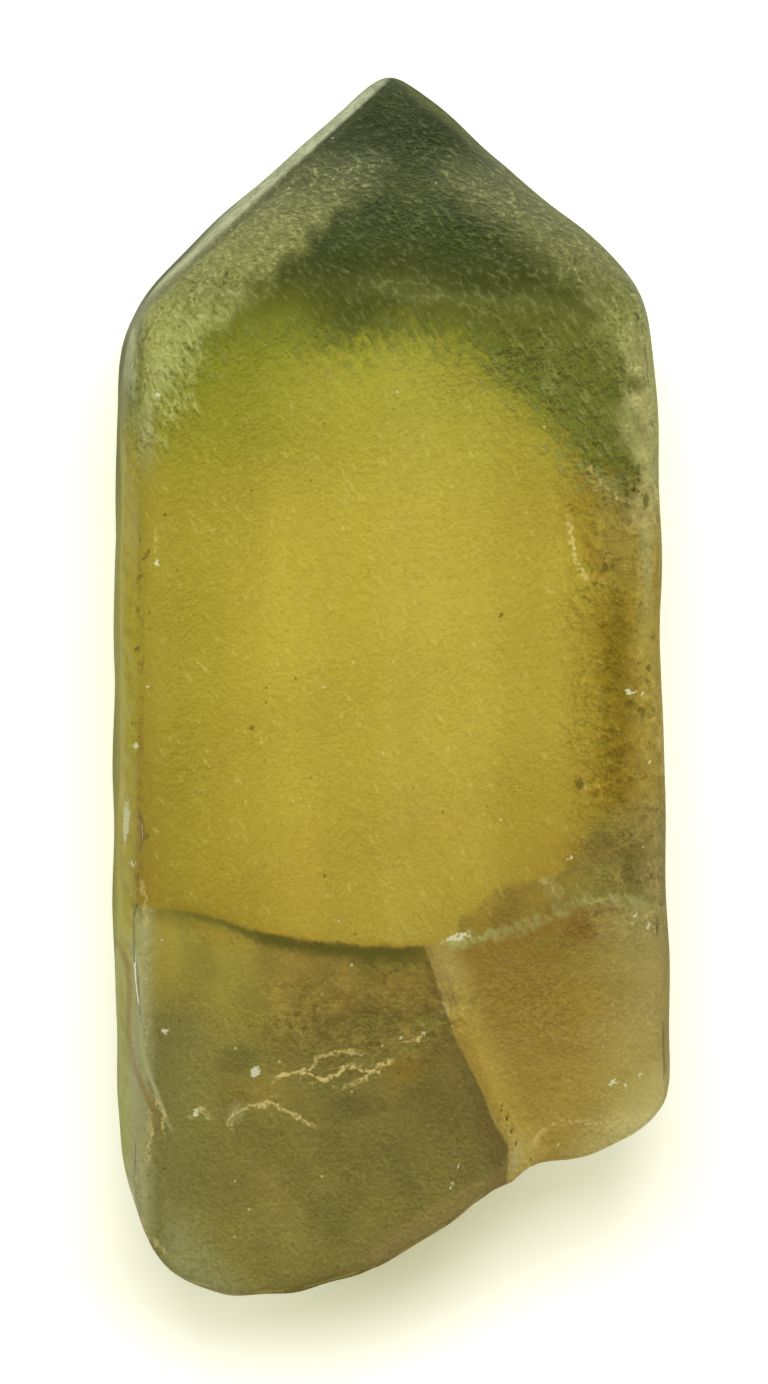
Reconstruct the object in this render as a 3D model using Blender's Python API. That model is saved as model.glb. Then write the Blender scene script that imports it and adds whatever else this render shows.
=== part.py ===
"""A waterworn zircon crystal, lying on one of its prism faces.

Run with: blender --background --python part.py

The crystal's long axis, its c axis, lies along Y with the pyramid at +Y. It rests on its back prism
face at z = 0, and its best face looks up, along +Z. The origin is under the middle of its box.

The solid is one closed surface around a function that is negative inside the stone: the worn
polyhedron of the crystal's own faces, less the oblique break at the lower end, a shallow flake off the
upper face and a few chips and dents. A block of about the right shape is sliced into a fine grid, each
of its points moves to the place where the function is zero, and the flat stretches are then simplified.
Lengths in the functions are millimetres.
"""

import math

import bmesh
import bpy
import numpy as np

MM = 0.001

# The crystal's own faces. Zircon is tetragonal with c/a = 0.905, which sets the pyramid's slope.
AXIS_RATIO = 0.905
DEPTH = 10.2
APEX_X = 0.09
APEX_Y = 12.62
LEFT_X = -5.50
RIGHT_X = 5.38
LEFT_TAPER = math.radians(0.3)
RIGHT_TAPER = math.radians(1.25)
EDGE_WEAR = 0.34  # softness of the worn prism edges: they come out with a radius of about 0.8
TIP_WEAR = 0.15
GABLE_WEAR = 0.42
LEFT_SHOULDER_WEAR = 0.46

# The oblique break at the lower end, as y against x: its line on the back face and its line on the
# upper face. A cliff divides it in two, and it leans to the right on its way up.
BREAK_BACK = [(-6.2, -5.2), (-4.8, -5.4), (-2.9, -5.8), (-0.6, -6.1), (0.77, -6.15), (2.2, -5.75),
              (3.8, -5.3), (5.2, -5.3), (6.4, -5.6)]
BREAK_FRONT = [(-6.4, -9.9), (-5.6, -11.0), (-4.9, -12.1), (-4.3, -12.68), (-3.6, -12.94), (-2.8, -13.04),
               (-1.2, -12.78), (0.2, -12.05), (1.2, -11.33), (1.95, -10.6), (2.7, -9.92), (3.4, -9.72),
               (4.2, -9.46), (4.8, -9.25), (5.3, -8.75), (6.0, -7.75)]
BREAK_BOW = 1.2  # above 1, the break is hollow between its two lines
BREAK_WEAR_LEFT = 0.24
BREAK_WEAR_RIGHT = 0.16
CLIFF_BACK_X = 0.9
CLIFF_FRONT_X = 2.25
CLIFF_DROP = 0.5
CLIFF_WIDTH = 0.14

# Shell-like ripples on the break, round the point where the blow fell.
RIPPLE_CENTRE = (-4.5, -13.5, 3.0)
RIPPLE_PITCH = 1.7
RIPPLE_HEIGHT = 0.05

# The flake off the upper face: the ledge that ends it, as y against x, and how it falls away on each
# side of the ridge that runs from the middle of the ledge to the cliff.
LEDGE = [(-6.0, -4.45), (-4.83, -4.48), (-3.83, -4.62), (-2.83, -4.94), (-1.83, -5.12), (0.17, -5.26),
         (0.9, -5.2), (2.57, -4.82), (4.17, -4.26), (5.0, -4.38), (6.0, -4.6)]
LEDGE_WIDTH = 0.28
LEDGE_CLEARANCE = 0.25  # how far the hollow's surface passes above the face beyond the ledge
LEDGE_DROP_LEFT = 0.24
LEDGE_DROP_RIGHT = 0.10
RIDGE_TOP = (0.77, -5.3)
RIDGE_LOW = (2.25, -9.4)
FLAKE_SLOPE_LEFT = 0.045
FLAKE_SLOPE_RIGHT = 0.03
RIDGE_FALL_LEFT = 0.12
RIDGE_FALL_WIDTH = 0.45

# Dents and chips: the middle of each, its half-size along x, y and z, and the softness of its rim.
DENTS = [
    ((3.95, 2.95, DEPTH + 0.18), (0.62, 1.05, 0.32), 0.10),  # oval hollow beside the right edge
    ((-5.95, -2.95, DEPTH - 0.1), (0.62, 0.7, 0.75), 0.10),  # chips down the left edge
    ((-5.85, -1.75, DEPTH - 0.2), (0.45, 0.4, 0.6), 0.10),
    ((-6.15, 2.9, DEPTH - 0.4), (0.72, 1.0, 0.8), 0.14),
    ((-6.25, -8.3, DEPTH + 0.25), (1.5, 3.3, 1.4), 0.34),
    ((3.9, -3.75, DEPTH + 0.85), (2.3, 1.15, 0.95), 0.05),  # shallow scar above the ledge
    ((5.75, -4.9, DEPTH + 0.1), (0.5, 0.5, 0.5), 0.10),  # chips down the right edge
    ((5.95, -0.2, DEPTH - 0.2), (0.5, 0.6, 0.8), 0.10),
    ((6.2, 1.2, 6.4), (0.85, 1.6, 3.4), 0.16),
    ((-2.55, 10.35, DEPTH / 2 + 3.0), (0.5, 0.5, 0.5), 0.08),  # nick in the pyramid's left edge
    ((6.2, -1.6, 1.0), (1.1, 1.7, 1.7), 0.20),  # chips round the face that it rests on
    ((-6.3, 3.6, 0.3), (1.1, 2.0, 1.3), 0.20),
    ((-6.2, -3.1, -0.2), (1.2, 1.3, 1.3), 0.20),
    ((1.6, 8.6, -0.35), (1.6, 1.1, 1.1), 0.20),
    ((3.4, -5.0, -0.5), (1.3, 1.0, 1.1), 0.20),
]

# Gentle lumps over the whole stone, and faint ribs along the upper face.
LUMP_HEIGHT = 0.022
LUMP_WAVES = 24
LUMP_PITCH = (2.2, 5.0)
RIB_HEIGHT = 0.012
RIB_PITCH = 1.45
SEED = 7

# The block that becomes the stone: its slices across each side, and the triangles kept at the end.
SLICES = (30, 60, 30)
STEPS = 8
TRIANGLES = 9000

OLIVE = (0.42, 0.36, 0.07, 1.0)


def curve_through(knots):
    """A smooth curve through the knots, level beyond the last ones."""
    xs, ys = (np.array(side) for side in zip(*knots))
    slopes = np.gradient(ys, xs)

    def height(x):
        x = np.clip(x, xs[0], xs[-1])
        i = np.clip(np.searchsorted(xs, x) - 1, 0, len(xs) - 2)
        span = xs[i + 1] - xs[i]
        t = (x - xs[i]) / span
        start = (1 + 2 * t) * (1 - t) ** 2 * ys[i] + t * (1 - t) ** 2 * span * slopes[i]
        end = t * t * (3 - 2 * t) * ys[i + 1] + t * t * (t - 1) * span * slopes[i + 1]
        return start + end

    return height


break_back = curve_through(BREAK_BACK)
break_front = curve_through(BREAK_FRONT)
ledge_y = curve_through(LEDGE)


def smooth_max(values, softness):
    """The largest of the values, with the corner between them rounded."""
    highest = np.max(values, axis=0)
    return highest + softness * np.log(sum(np.exp((v - highest) / softness) for v in values))


def smooth_step(x, low, high):
    t = np.clip((x - low) / (high - low), 0, 1)
    return t * t * (3 - 2 * t)


def prism_faces():
    """The four sides of the crystal, each as (outward normal, a point on it)."""
    return [
        ((0, 0, 1), (0, 0, DEPTH)),
        ((0, 0, -1), (0, 0, 0)),
        ((-math.cos(LEFT_TAPER), math.sin(LEFT_TAPER), 0), (LEFT_X, 0, 0)),
        ((math.cos(RIGHT_TAPER), math.sin(RIGHT_TAPER), 0), (RIGHT_X, 0, 0)),
    ]


def pyramid_faces():
    slope = math.atan(AXIS_RATIO)
    lean, rise = math.sin(slope), math.cos(slope)
    apex = (APEX_X, APEX_Y, DEPTH / 2)
    return [((side * lean, rise, up * lean), apex) for side, up in ((-1, 0), (1, 0), (0, 1), (0, -1))]


def outside_faces(p):
    """How far p is outside the worn polyhedron of the crystal's faces."""
    prism = [(p - np.array(point)) @ np.array(normal) for normal, point in prism_faces()]
    pyramid = [(p - np.array(point)) @ np.array(normal) for normal, point in pyramid_faces()]
    gable = TIP_WEAR + (GABLE_WEAR - TIP_WEAR) * smooth_step(APEX_Y - p[:, 1], 0.6, 3.0)
    shoulder = EDGE_WEAR + (LEFT_SHOULDER_WEAR - EDGE_WEAR) * smooth_step(-p[:, 0], 2.0, 4.5)
    return smooth_max([smooth_max(prism, EDGE_WEAR), smooth_max(pyramid, gable)], shoulder)


def break_y(x, z):
    """Where the break at the lower end is."""
    up = np.clip(z / DEPTH, 0, 1)
    to_front = (CLIFF_FRONT_X - CLIFF_BACK_X) * (1 - up)
    share = up**BREAK_BOW
    y = break_back(x - (CLIFF_FRONT_X - CLIFF_BACK_X) * up) * (1 - share) + break_front(x + to_front) * share
    left_of_cliff = 1 - smooth_step(x + to_front - CLIFF_FRONT_X, -CLIFF_WIDTH, CLIFF_WIDTH)
    return y + CLIFF_DROP * left_of_cliff * 4 * up * (1 - up)


def outside_break(p):
    x, y, z = p.T
    reach = np.linalg.norm(p - np.array(RIPPLE_CENTRE), axis=1)
    ripples = RIPPLE_HEIGHT * np.sin(reach * 2 * math.pi / RIPPLE_PITCH)
    steepness = math.hypot(1, 6.5 / DEPTH)
    return (break_y(x, z) + ripples - y) / steepness


def outside_flake(p):
    """How far p is above the hollow that the flake left in the upper face."""
    x, y, z = p.T
    below = ledge_y(x) - y
    ridge_x = np.interp(y, (RIDGE_LOW[1], RIDGE_TOP[1]), (RIDGE_LOW[0], RIDGE_TOP[0]))
    on_right = smooth_step(x - ridge_x, -RIDGE_FALL_WIDTH, RIDGE_FALL_WIDTH / 3)
    run = np.maximum(below, 0)
    left = LEDGE_DROP_LEFT + FLAKE_SLOPE_LEFT * run + RIDGE_FALL_LEFT * smooth_step(run, 0, 4)
    right = LEDGE_DROP_RIGHT + FLAKE_SLOPE_RIGHT * run
    depth = left * (1 - on_right) + right * on_right
    over_ledge = smooth_step(below, -LEDGE_WIDTH, LEDGE_WIDTH)
    return z - DEPTH + depth * over_ledge - LEDGE_CLEARANCE * (1 - over_ledge)


def outside_dent(p, middle, half_size):
    """How far p is inside one dent, which is outside the stone. The dent is an ellipsoid."""
    half = np.array(half_size)
    return (1 - np.linalg.norm((p - np.array(middle)) / half, axis=1)) * half.min()


def lumps(p):
    """Gentle lumps as a sum of waves in seeded directions, and the ribs."""
    random = np.random.default_rng(SEED)
    total = np.zeros(len(p))
    for _ in range(LUMP_WAVES):
        direction = random.normal(size=3)
        direction /= np.linalg.norm(direction)
        pitch, phase = random.uniform(*LUMP_PITCH), random.uniform(0, 2 * math.pi)
        total += np.sin(p @ direction * 2 * math.pi / pitch + phase)
    ribs = np.sin(p[:, 0] * 2 * math.pi / RIB_PITCH + 0.6 * np.sin(p[:, 1] / 3))
    return LUMP_HEIGHT * total / math.sqrt(LUMP_WAVES / 2) + RIB_HEIGHT * ribs


def outside(p):
    """Negative inside the stone, positive outside it."""
    right = smooth_step(p[:, 0], 1.0, 3.0)
    wear = BREAK_WEAR_LEFT + (BREAK_WEAR_RIGHT - BREAK_WEAR_LEFT) * right
    found = smooth_max([outside_faces(p), outside_break(p)], wear)
    found = smooth_max([found, outside_flake(p)], 0.05)
    for middle, half_size, softness in DENTS:
        found = smooth_max([found, outside_dent(p, middle, half_size)], softness)
    clear_of_rest = smooth_step(p[:, 2], 0.1, 1.5)
    return found + lumps(p) * clear_of_rest


def block_mesh():
    """A cube from -1 to 1, sliced into a grid on all six sides."""
    mesh = bmesh.new()
    bmesh.ops.create_cube(mesh, size=2)
    for axis, slices in enumerate(SLICES):
        normal = [float(axis == i) for i in range(3)]
        for i in range(1, slices):
            place = [(2 * i / slices - 1) * n for n in normal]
            everything = [*mesh.verts, *mesh.edges, *mesh.faces]
            bmesh.ops.bisect_plane(mesh, geom=everything, dist=1e-6, plane_co=place, plane_no=normal)
    return mesh


def block_to_stone(cube_points):
    """Bends the cube's points into a block with a pyramid at one end and the break at the other."""
    u, v, w = cube_points.T
    x = np.where(u < 0, -LEFT_X, RIGHT_X) * u
    z = DEPTH / 2 * (1 + w)
    high = APEX_Y - AXIS_RATIO * np.maximum(np.abs(x - APEX_X), np.abs(z - DEPTH / 2))
    low = break_y(x, z)
    t = (v + 1) / 2
    return np.column_stack([x, low * (1 - t) + high * t, z])


def slope_of(p):
    """The value of outside() at each point, and its slope along x, y and z."""
    small = 1e-3
    here = outside(p)
    slopes = [(outside(p + small * np.eye(3)[i]) - here) / small for i in range(3)]
    return here, np.column_stack(slopes)


def on_surface(points):
    """Moves the points straight down or up the function's slope until they are on the surface."""
    for _ in range(STEPS):
        here, slope = slope_of(points)
        points = points - slope * (here / np.maximum(np.sum(slope * slope, axis=1), 0.2))[:, None]
    points[:, 2] = np.where(points[:, 2] < 0.02, 0.0, points[:, 2])
    return points


def zircon_material():
    material = bpy.data.materials.new("zircon")
    material.use_nodes = True
    shader = material.node_tree.nodes["Principled BSDF"]
    shader.inputs["Base Color"].default_value = OLIVE
    shader.inputs["Roughness"].default_value = 0.35
    shader.inputs["Metallic"].default_value = 0.0
    return material


def make_crystal():
    mesh = block_mesh()
    points = on_surface(block_to_stone(np.array([v.co for v in mesh.verts]))) * MM
    for vertex, place in zip(mesh.verts, points):
        vertex.co = place
    bmesh.ops.triangulate(mesh, faces=mesh.faces, quad_method="SHORT_EDGE")
    data = bpy.data.meshes.new("crystal")
    mesh.to_mesh(data)
    mesh.free()
    crystal = bpy.data.objects.new("crystal", data)
    bpy.context.scene.collection.objects.link(crystal)
    data.materials.append(zircon_material())
    data.shade_smooth()
    simpler = crystal.modifiers.new("simpler", "DECIMATE")
    simpler.ratio = TRIANGLES / len(data.polygons)
    return crystal


for leftover in list(bpy.data.objects):
    bpy.data.objects.remove(leftover)
make_crystal()
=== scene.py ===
"""The zircon crystal's looks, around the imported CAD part. Measures are in millimetres."""

import math

import bpy
import numpy as np
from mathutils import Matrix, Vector


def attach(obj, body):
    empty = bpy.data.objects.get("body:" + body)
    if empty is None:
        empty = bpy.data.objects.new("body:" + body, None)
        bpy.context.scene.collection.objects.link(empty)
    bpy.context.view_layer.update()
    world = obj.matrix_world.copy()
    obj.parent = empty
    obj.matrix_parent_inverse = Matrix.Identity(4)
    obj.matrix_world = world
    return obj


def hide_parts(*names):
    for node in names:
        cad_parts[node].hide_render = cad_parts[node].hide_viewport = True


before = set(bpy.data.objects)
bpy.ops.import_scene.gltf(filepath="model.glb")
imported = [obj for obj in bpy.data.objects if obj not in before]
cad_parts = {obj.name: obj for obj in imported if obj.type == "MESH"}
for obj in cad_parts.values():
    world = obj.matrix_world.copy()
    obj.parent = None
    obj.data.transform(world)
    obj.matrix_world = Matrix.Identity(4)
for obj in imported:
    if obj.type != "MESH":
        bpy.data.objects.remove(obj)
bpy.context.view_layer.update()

MM = 0.001

# The crystal's own faces. Zircon is tetragonal with c/a = 0.905, which sets the pyramid's slope.
AXIS_RATIO = 0.905
DEPTH = 10.2
APEX_X = 0.09
APEX_Y = 12.62
LEFT_X = -5.50
RIGHT_X = 5.38
LEFT_TAPER = math.radians(0.3)
RIGHT_TAPER = math.radians(1.25)
EDGE_WEAR = 0.34  # softness of the worn prism edges: they come out with a radius of about 0.8
TIP_WEAR = 0.15
GABLE_WEAR = 0.42
LEFT_SHOULDER_WEAR = 0.46

# The oblique break at the lower end, as y against x: its line on the back face and its line on the
# upper face. A cliff divides it in two, and it leans to the right on its way up.
BREAK_BACK = [(-6.2, -5.2), (-4.8, -5.4), (-2.9, -5.8), (-0.6, -6.1), (0.77, -6.15), (2.2, -5.75),
              (3.8, -5.3), (5.2, -5.3), (6.4, -5.6)]
BREAK_FRONT = [(-6.4, -9.9), (-5.6, -11.0), (-4.9, -12.1), (-4.3, -12.68), (-3.6, -12.94), (-2.8, -13.04),
               (-1.2, -12.78), (0.2, -12.05), (1.2, -11.33), (1.95, -10.6), (2.7, -9.92), (3.4, -9.72),
               (4.2, -9.46), (4.8, -9.25), (5.3, -8.75), (6.0, -7.75)]
BREAK_BOW = 1.2  # above 1, the break is hollow between its two lines
BREAK_WEAR_LEFT = 0.24
BREAK_WEAR_RIGHT = 0.16
CLIFF_BACK_X = 0.9
CLIFF_FRONT_X = 2.25
CLIFF_DROP = 0.5
CLIFF_WIDTH = 0.14

# Shell-like ripples on the break, round the point where the blow fell.
RIPPLE_CENTRE = (-4.5, -13.5, 3.0)
RIPPLE_PITCH = 1.7
RIPPLE_HEIGHT = 0.05

# The flake off the upper face: the ledge that ends it, as y against x, and how it falls away on each
# side of the ridge that runs from the middle of the ledge to the cliff.
LEDGE = [(-6.0, -4.45), (-4.83, -4.48), (-3.83, -4.62), (-2.83, -4.94), (-1.83, -5.12), (0.17, -5.26),
         (0.9, -5.2), (2.57, -4.82), (4.17, -4.26), (5.0, -4.38), (6.0, -4.6)]
LEDGE_WIDTH = 0.28
LEDGE_CLEARANCE = 0.25  # how far the hollow's surface passes above the face beyond the ledge
LEDGE_DROP_LEFT = 0.24
LEDGE_DROP_RIGHT = 0.10
RIDGE_TOP = (0.77, -5.3)
RIDGE_LOW = (2.25, -9.4)
FLAKE_SLOPE_LEFT = 0.045
FLAKE_SLOPE_RIGHT = 0.03
RIDGE_FALL_LEFT = 0.12
RIDGE_FALL_WIDTH = 0.45

# Dents and chips: the middle of each, its half-size along x, y and z, and the softness of its rim.
DENTS = [
    ((3.95, 2.95, DEPTH + 0.18), (0.62, 1.05, 0.32), 0.10),  # oval hollow beside the right edge
    ((-5.95, -2.95, DEPTH - 0.1), (0.62, 0.7, 0.75), 0.10),  # chips down the left edge
    ((-5.85, -1.75, DEPTH - 0.2), (0.45, 0.4, 0.6), 0.10),
    ((-6.15, 2.9, DEPTH - 0.4), (0.72, 1.0, 0.8), 0.14),
    ((-6.25, -8.3, DEPTH + 0.25), (1.5, 3.3, 1.4), 0.34),
    ((3.9, -3.75, DEPTH + 0.85), (2.3, 1.15, 0.95), 0.05),  # shallow scar above the ledge
    ((5.75, -4.9, DEPTH + 0.1), (0.5, 0.5, 0.5), 0.10),  # chips down the right edge
    ((5.95, -0.2, DEPTH - 0.2), (0.5, 0.6, 0.8), 0.10),
    ((6.2, 1.2, 6.4), (0.85, 1.6, 3.4), 0.16),
    ((-2.55, 10.35, DEPTH / 2 + 3.0), (0.5, 0.5, 0.5), 0.08),  # nick in the pyramid's left edge
    ((6.2, -1.6, 1.0), (1.1, 1.7, 1.7), 0.20),  # chips round the face that it rests on
    ((-6.3, 3.6, 0.3), (1.1, 2.0, 1.3), 0.20),
    ((-6.2, -3.1, -0.2), (1.2, 1.3, 1.3), 0.20),
    ((1.6, 8.6, -0.35), (1.6, 1.1, 1.1), 0.20),
    ((3.4, -5.0, -0.5), (1.3, 1.0, 1.1), 0.20),
]

# Gentle lumps over the whole stone, and faint ribs along the upper face.
LUMP_HEIGHT = 0.022
LUMP_WAVES = 24
LUMP_PITCH = (2.2, 5.0)
RIB_HEIGHT = 0.012
RIB_PITCH = 1.45
SEED = 7

# The block that becomes the stone: its slices along x, y and z, and how often its points are moved toward
# the surface.
SLICES = (120, 220, 50)
STEPS = 8


def curve_through(knots):
    """A smooth curve through the knots, level beyond the last ones."""
    xs, ys = (np.array(side) for side in zip(*knots))
    slopes = np.gradient(ys, xs)

    def height(x):
        x = np.clip(x, xs[0], xs[-1])
        i = np.clip(np.searchsorted(xs, x) - 1, 0, len(xs) - 2)
        span = xs[i + 1] - xs[i]
        t = (x - xs[i]) / span
        start = (1 + 2 * t) * (1 - t) ** 2 * ys[i] + t * (1 - t) ** 2 * span * slopes[i]
        end = t * t * (3 - 2 * t) * ys[i + 1] + t * t * (t - 1) * span * slopes[i + 1]
        return start + end

    return height


break_back = curve_through(BREAK_BACK)
break_front = curve_through(BREAK_FRONT)
ledge_y = curve_through(LEDGE)


def smooth_max(values, softness):
    """The largest of the values, with the corner between them rounded."""
    highest = np.max(values, axis=0)
    return highest + softness * np.log(sum(np.exp((v - highest) / softness) for v in values))


def fade(x, low, high):
    """Goes smoothly from 0 to 1 as x goes from low to high, which may be below low."""
    t = np.clip((x - low) / (high - low), 0, 1)
    return t * t * (3 - 2 * t)


def prism_faces():
    """The four sides of the crystal, each as (outward normal, a point on it)."""
    return [
        ((0, 0, 1), (0, 0, DEPTH)),
        ((0, 0, -1), (0, 0, 0)),
        ((-math.cos(LEFT_TAPER), math.sin(LEFT_TAPER), 0), (LEFT_X, 0, 0)),
        ((math.cos(RIGHT_TAPER), math.sin(RIGHT_TAPER), 0), (RIGHT_X, 0, 0)),
    ]


def pyramid_faces():
    slope = math.atan(AXIS_RATIO)
    lean, rise = math.sin(slope), math.cos(slope)
    apex = (APEX_X, APEX_Y, DEPTH / 2)
    return [((side * lean, rise, up * lean), apex) for side, up in ((-1, 0), (1, 0), (0, 1), (0, -1))]


def outside_faces(p):
    """How far p is outside the worn polyhedron of the crystal's faces."""
    prism = [(p - np.array(point)) @ np.array(normal) for normal, point in prism_faces()]
    pyramid = [(p - np.array(point)) @ np.array(normal) for normal, point in pyramid_faces()]
    gable = TIP_WEAR + (GABLE_WEAR - TIP_WEAR) * fade(APEX_Y - p[:, 1], 0.6, 3.0)
    shoulder = EDGE_WEAR + (LEFT_SHOULDER_WEAR - EDGE_WEAR) * fade(-p[:, 0], 2.0, 4.5)
    return smooth_max([smooth_max(prism, EDGE_WEAR), smooth_max(pyramid, gable)], shoulder)


def break_y(x, z):
    """Where the break at the lower end is."""
    up = np.clip(z / DEPTH, 0, 1)
    to_front = (CLIFF_FRONT_X - CLIFF_BACK_X) * (1 - up)
    share = up**BREAK_BOW
    from_back = break_back(x - (CLIFF_FRONT_X - CLIFF_BACK_X) * up)
    y = from_back * (1 - share) + break_front(x + to_front) * share
    left_of_cliff = 1 - fade(x + to_front - CLIFF_FRONT_X, -CLIFF_WIDTH, CLIFF_WIDTH)
    return y + CLIFF_DROP * left_of_cliff * 4 * up * (1 - up)


def outside_break(p):
    x, y, z = p.T
    reach = np.linalg.norm(p - np.array(RIPPLE_CENTRE), axis=1)
    ripples = RIPPLE_HEIGHT * np.sin(reach * 2 * math.pi / RIPPLE_PITCH)
    steepness = math.hypot(1, 6.5 / DEPTH)
    return (break_y(x, z) + ripples - y) / steepness


def outside_flake(p):
    """How far p is above the hollow that the flake left in the upper face."""
    x, y, z = p.T
    below = ledge_y(x) - y
    ridge_x = np.interp(y, (RIDGE_LOW[1], RIDGE_TOP[1]), (RIDGE_LOW[0], RIDGE_TOP[0]))
    on_right = fade(x - ridge_x, -RIDGE_FALL_WIDTH, RIDGE_FALL_WIDTH / 3)
    run = np.maximum(below, 0)
    left = LEDGE_DROP_LEFT + FLAKE_SLOPE_LEFT * run + RIDGE_FALL_LEFT * fade(run, 0, 4)
    right = LEDGE_DROP_RIGHT + FLAKE_SLOPE_RIGHT * run
    depth = left * (1 - on_right) + right * on_right
    over_ledge = fade(below, -LEDGE_WIDTH, LEDGE_WIDTH)
    return z - DEPTH + depth * over_ledge - LEDGE_CLEARANCE * (1 - over_ledge)


def outside_dent(p, middle, half_size):
    """How far p is inside one dent, which is outside the stone. The dent is an ellipsoid."""
    half = np.array(half_size)
    return (1 - np.linalg.norm((p - np.array(middle)) / half, axis=1)) * half.min()


def lumps(p):
    """Gentle lumps as a sum of waves in seeded directions, and the ribs."""
    random = np.random.default_rng(SEED)
    total = np.zeros(len(p))
    for _ in range(LUMP_WAVES):
        direction = random.normal(size=3)
        direction /= np.linalg.norm(direction)
        pitch, phase = random.uniform(*LUMP_PITCH), random.uniform(0, 2 * math.pi)
        total += np.sin(p @ direction * 2 * math.pi / pitch + phase)
    ribs = np.sin(p[:, 0] * 2 * math.pi / RIB_PITCH + 0.6 * np.sin(p[:, 1] / 3))
    return LUMP_HEIGHT * total / math.sqrt(LUMP_WAVES / 2) + RIB_HEIGHT * ribs


def outside(p):
    """Negative inside the stone, positive outside it."""
    right = fade(p[:, 0], 1.0, 3.0)
    wear = BREAK_WEAR_LEFT + (BREAK_WEAR_RIGHT - BREAK_WEAR_LEFT) * right
    found = smooth_max([outside_faces(p), outside_break(p)], wear)
    found = smooth_max([found, outside_flake(p)], 0.05)
    for middle, half_size, softness in DENTS:
        found = smooth_max([found, outside_dent(p, middle, half_size)], softness)
    clear_of_rest = fade(p[:, 2], 0.1, 1.5)
    return found + lumps(p) * clear_of_rest


def block_to_stone(cube_points):
    """Bends the cube's points into a block with a pyramid at one end and the break at the other."""
    u, v, w = cube_points.T
    x = np.where(u < 0, -LEFT_X, RIGHT_X) * u
    z = DEPTH / 2 * (1 + w)
    high = APEX_Y - AXIS_RATIO * np.maximum(np.abs(x - APEX_X), np.abs(z - DEPTH / 2))
    low = break_y(x, z)
    t = (v + 1) / 2
    return np.column_stack([x, low * (1 - t) + high * t, z])


def slope_of(p):
    """The value of outside() at each point, and its slope along x, y and z."""
    small = 1e-3
    here = outside(p)
    slopes = [(outside(p + small * np.eye(3)[i]) - here) / small for i in range(3)]
    return here, np.column_stack(slopes)


def on_surface(points):
    """Moves the points straight down or up the function's slope until they are on the surface."""
    for _ in range(STEPS):
        here, slope = slope_of(points)
        points = points - slope * (here / np.maximum(np.sum(slope * slope, axis=1), 0.2))[:, None]
    points[:, 2] = np.where(points[:, 2] < 0.02, 0.0, points[:, 2])
    return points


def lattice(slices):
    """The surface of a cube from -1 to 1 as (points, quads), sliced into a grid on all six sides."""
    slices = np.array(slices)
    quads = []
    for axis in range(3):
        b, c = (axis + 1) % 3, (axis + 2) % 3
        i, j = np.meshgrid(np.arange(slices[b]), np.arange(slices[c]), indexing="ij")
        for side in (0, 1):
            corners = []
            for di, dj in ((0, 0), (1, 0), (1, 1), (0, 1)):
                corner = np.zeros(i.shape + (3,), int)
                corner[..., axis] = side * slices[axis]
                corner[..., b] = i + di
                corner[..., c] = j + dj
                corners.append(corner.reshape(-1, 3))
            quads.append(np.stack(corners if side else corners[::-1], axis=1))
    quads = np.concatenate(quads)
    places, index = np.unique(quads.reshape(-1, 3), axis=0, return_inverse=True)
    return 2.0 * places / slices - 1, index.reshape(-1, 4)


def make_mesh(name, points, quads):
    """A smooth-shaded object."""
    mesh = bpy.data.meshes.new(name)
    mesh.from_pydata(points.tolist(), [], quads.tolist())
    mesh.update()
    mesh.shade_smooth()
    thing = bpy.data.objects.new(name, mesh)
    bpy.context.scene.collection.objects.link(thing)
    return thing


# Lines that colours follow. As y against x: the dark tip's lower border, the top of the scar above the
# ledge, and the lower right outline. As x against y: the ridge, and the facet down the lower left edge.
DARK_EDGE = curve_through([(-6.0, 5.0), (-4.7, 5.5), (-4.2, 6.1), (-3.6, 6.7), (-2.9, 7.0), (-2.0, 6.72),
                           (-0.8, 6.8), (0.6, 6.9), (1.7, 6.5), (2.3, 5.9), (3.0, 5.1), (3.6, 4.55),
                           (4.4, 4.05), (6.0, 3.6)])
SCAR = curve_through([(1.2, -4.7), (1.55, -4.5), (1.8, -4.25), (2.6, -3.95), (3.0, -3.9), (3.9, -3.35),
                      (4.9, -2.95), (6.0, -2.9)])
LOBE_EDGE = curve_through([(-1.2, -12.05), (-0.8, -11.82), (0.37, -10.98), (1.47, -10.32), (2.13, -9.92)])
RIDGE = curve_through([(-11.5, 2.3), (-9.95, 2.2), (-9.55, 2.22), (-9.2, 2.2), (-8.9, 2.0), (-8.28, 1.75),
                       (-7.72, 1.48), (-7.06, 1.15), (-6.24, 0.88), (-5.6, 0.67), (-5.2, 0.5)])
FACET = curve_through([(-9.3, -4.35), (-8.75, -4.6), (-8.3, -4.77), (-7.7, -5.0), (-7.1, -5.12),
                       (-6.3, -5.12), (-5.6, -5.17), (-5.25, -5.3), (-4.8, -5.6)])

# The crack along the ledge, as (x, value): how thin it is, and how strong its dark line, with painted
# shade under the step, and its pale line are.
CRACK_THINNESS = [(-4.5, 2.4), (-3.4, 1.8), (-2.7, 1.0), (-1.2, 0.8), (0.2, 0.6)]
CRACK_DARK_AND_SHADE = [(-5.0, 0.1), (-4.4, 0.3), (-3.6, 0.6), (-2.6, 0.85), (0.3, 0.85), (0.5, 0.45), (0.8, 0.0)]
CRACK_PALE = [(0.7, 0.0), (1.0, 0.9), (1.7, 0.8), (2.1, 0.45), (3.0, 0.5), (4.2, 0.6), (5.2, 0.3)]

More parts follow.
